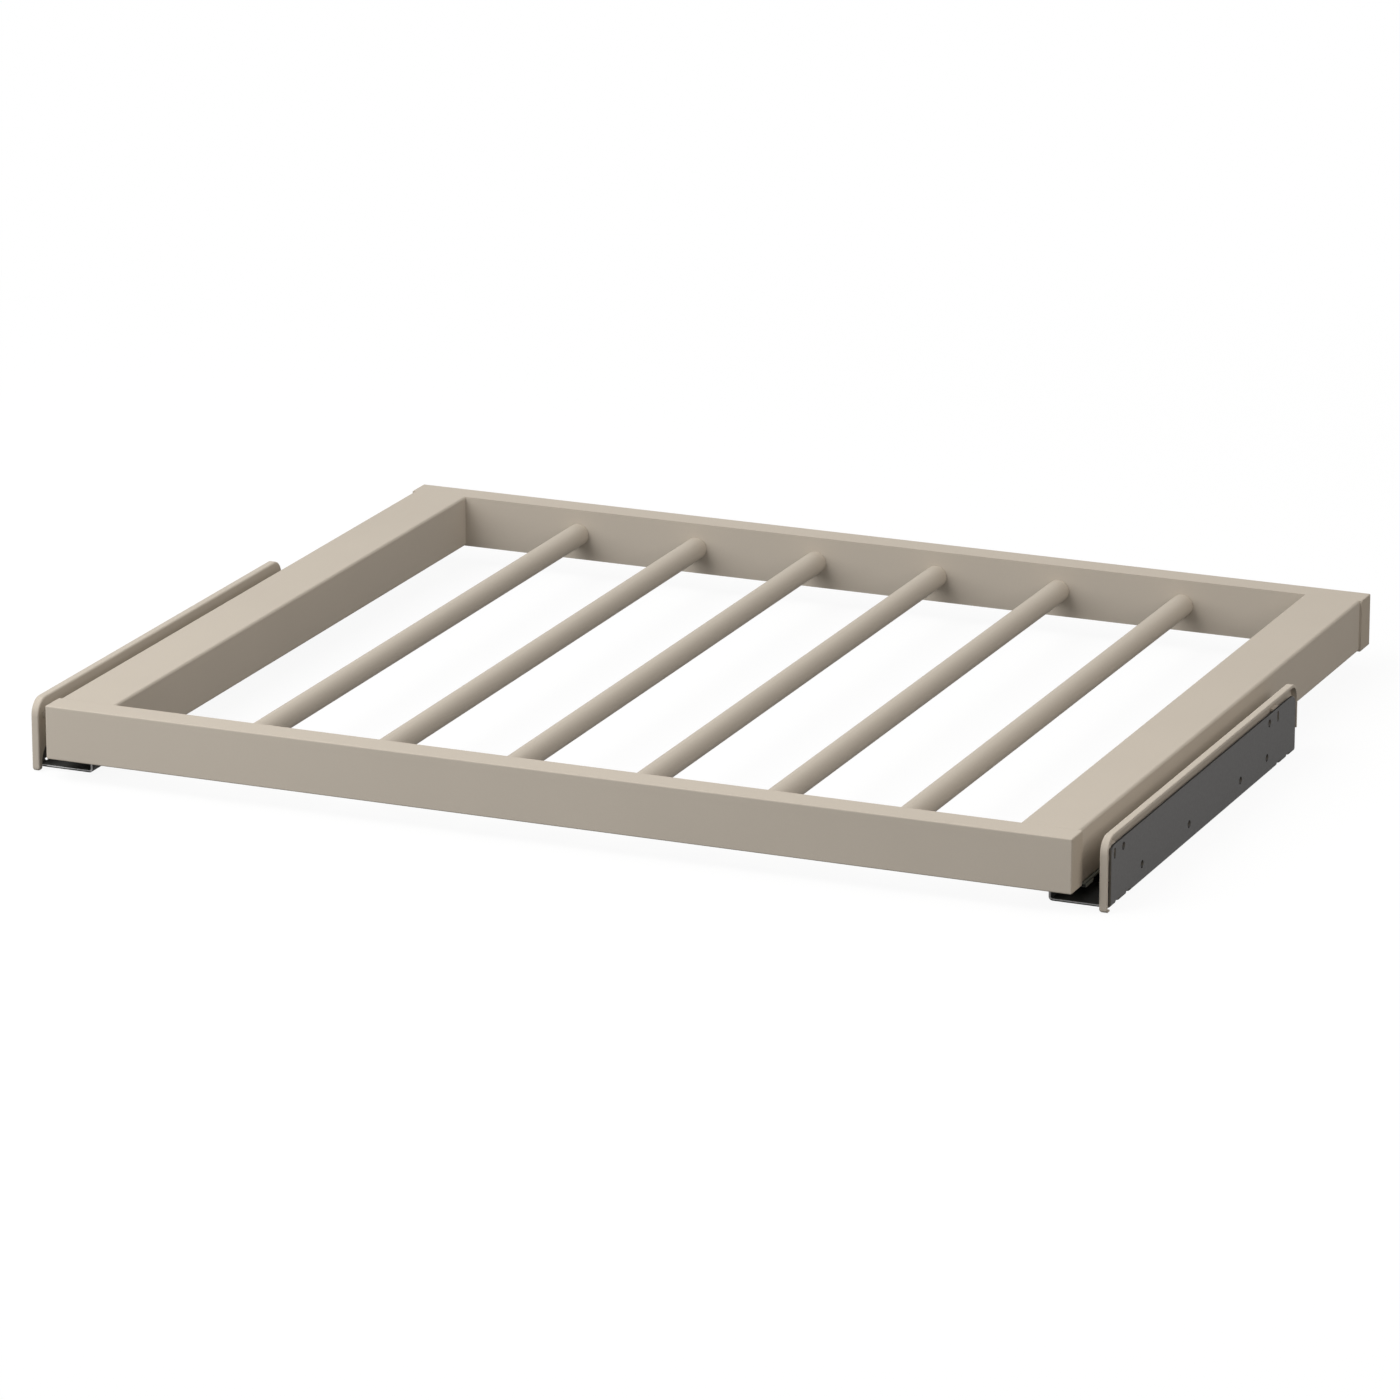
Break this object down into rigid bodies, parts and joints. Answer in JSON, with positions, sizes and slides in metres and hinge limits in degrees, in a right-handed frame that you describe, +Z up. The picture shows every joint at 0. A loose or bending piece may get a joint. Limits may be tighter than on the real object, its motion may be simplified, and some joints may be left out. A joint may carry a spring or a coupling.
{
  "type": "pull out trouser rack",
  "caption": "Pull-out wardrobe rack: a greige wooden frame with round rods for hanging trousers, on two telescopic ball runners fixed to the wardrobe's sides.",
  "frame": {"origin": "middle of the footprint, at the height of the covers' lower lips", "axes": "+X to the right along the front rail, -Y towards the person who pulls the rack out, +Z up"},
  "size_m": [0.712, 0.555, 0.0482],
  "materials": {
    "frame_foil": "matte foil with a fine texture, over fibreboard",
    "rod_coating": "matte powder coating on steel tube",
    "cover_plastic": "matte moulded plastic",
    "bracket_coating": "dark grey coating, satin",
    "strip_coating": "thin dark coating with a green cast",
    "runner_coating": "black electro-dipped coating",
    "ball_steel": "polished",
    "cage_plastic": "moulded",
    "clip_plastic": "moulded, grey",
    "buffer_rubber": "moulded",
    "screw_zinc": "zinc plating",
    "cam_alloy": "die-cast zinc alloy",
    "dowel_beech": "bare beech"
  },
  "bodies": {
    "brackets": {"left_wall_bracket": "bracket_coating", "left_cover": "cover_plastic", "left_fixed_channel": "runner_coating", "left_channel_rivets": "screw_zinc", "left_rear_buffer": "buffer_rubber", "right_wall_bracket": "bracket_coating", "right_cover": "cover_plastic", "right_fixed_channel": "runner_coating", "right_channel_rivets": "screw_zinc", "right_rear_buffer": "buffer_rubber"},
    "rack": {"front_rail": "frame_foil", "back_rail": "frame_foil", "left_side_rail": "frame_foil", "right_side_rail": "frame_foil", "trouser_rod_1": "rod_coating", "trouser_rod_2": "rod_coating", "trouser_rod_3": "rod_coating", "trouser_rod_4": "rod_coating", "trouser_rod_5": "rod_coating", "trouser_rod_6": "rod_coating", "corner_dowels": "dowel_beech", "cam_bolts": "screw_zinc", "cam_nuts": "cam_alloy", "left_mounting_strip": "strip_coating", "left_inner_channel": "runner_coating", "left_front_clip": "clip_plastic", "left_frame_screws": "screw_zinc", "left_strip_rivets": "screw_zinc", "right_mounting_strip": "strip_coating", "right_inner_channel": "runner_coating", "right_front_clip": "clip_plastic", "right_frame_screws": "screw_zinc", "right_strip_rivets": "screw_zinc"},
    "left_middle": {"left_middle_channel": "runner_coating"},
    "left_outer_cage": {"left_outer_ball_cage": "cage_plastic", "left_outer_balls": "ball_steel"},
    "left_inner_cage": {"left_inner_ball_cage": "cage_plastic", "left_inner_balls": "ball_steel"},
    "right_middle": {"right_middle_channel": "runner_coating"},
    "right_outer_cage": {"right_outer_ball_cage": "cage_plastic", "right_outer_balls": "ball_steel"},
    "right_inner_cage": {"right_inner_ball_cage": "cage_plastic", "right_inner_balls": "ball_steel"}
  },
  "joints": [
    {"name": "rack_slide", "type": "slide", "parent": "brackets", "child": "rack", "axis": [0, -1, 0], "range_m": [0, 0.28]},
    {"name": "left_middle_slide", "type": "slide", "parent": "brackets", "child": "left_middle", "axis": [0, -1, 0], "range_m": [0, 0.14]},
    {"name": "left_outer_cage_slide", "type": "slide", "parent": "brackets", "child": "left_outer_cage", "axis": [0, -1, 0], "range_m": [0, 0.07]},
    {"name": "left_inner_cage_slide", "type": "slide", "parent": "brackets", "child": "left_inner_cage", "axis": [0, -1, 0], "range_m": [0, 0.21]},
    {"name": "right_middle_slide", "type": "slide", "parent": "brackets", "child": "right_middle", "axis": [0, -1, 0], "range_m": [0, 0.14]},
    {"name": "right_outer_cage_slide", "type": "slide", "parent": "brackets", "child": "right_outer_cage", "axis": [0, -1, 0], "range_m": [0, 0.07]},
    {"name": "right_inner_cage_slide", "type": "slide", "parent": "brackets", "child": "right_inner_cage", "axis": [0, -1, 0], "range_m": [0, 0.21]}
  ],
  "couplings": [
    {"joint": "left_middle_slide", "follows": "rack_slide", "ratio": 0.5},
    {"joint": "left_outer_cage_slide", "follows": "rack_slide", "ratio": 0.25},
    {"joint": "left_inner_cage_slide", "follows": "rack_slide", "ratio": 0.75},
    {"joint": "right_middle_slide", "follows": "rack_slide", "ratio": 0.5},
    {"joint": "right_outer_cage_slide", "follows": "rack_slide", "ratio": 0.25},
    {"joint": "right_inner_cage_slide", "follows": "rack_slide", "ratio": 0.75}
  ]
}
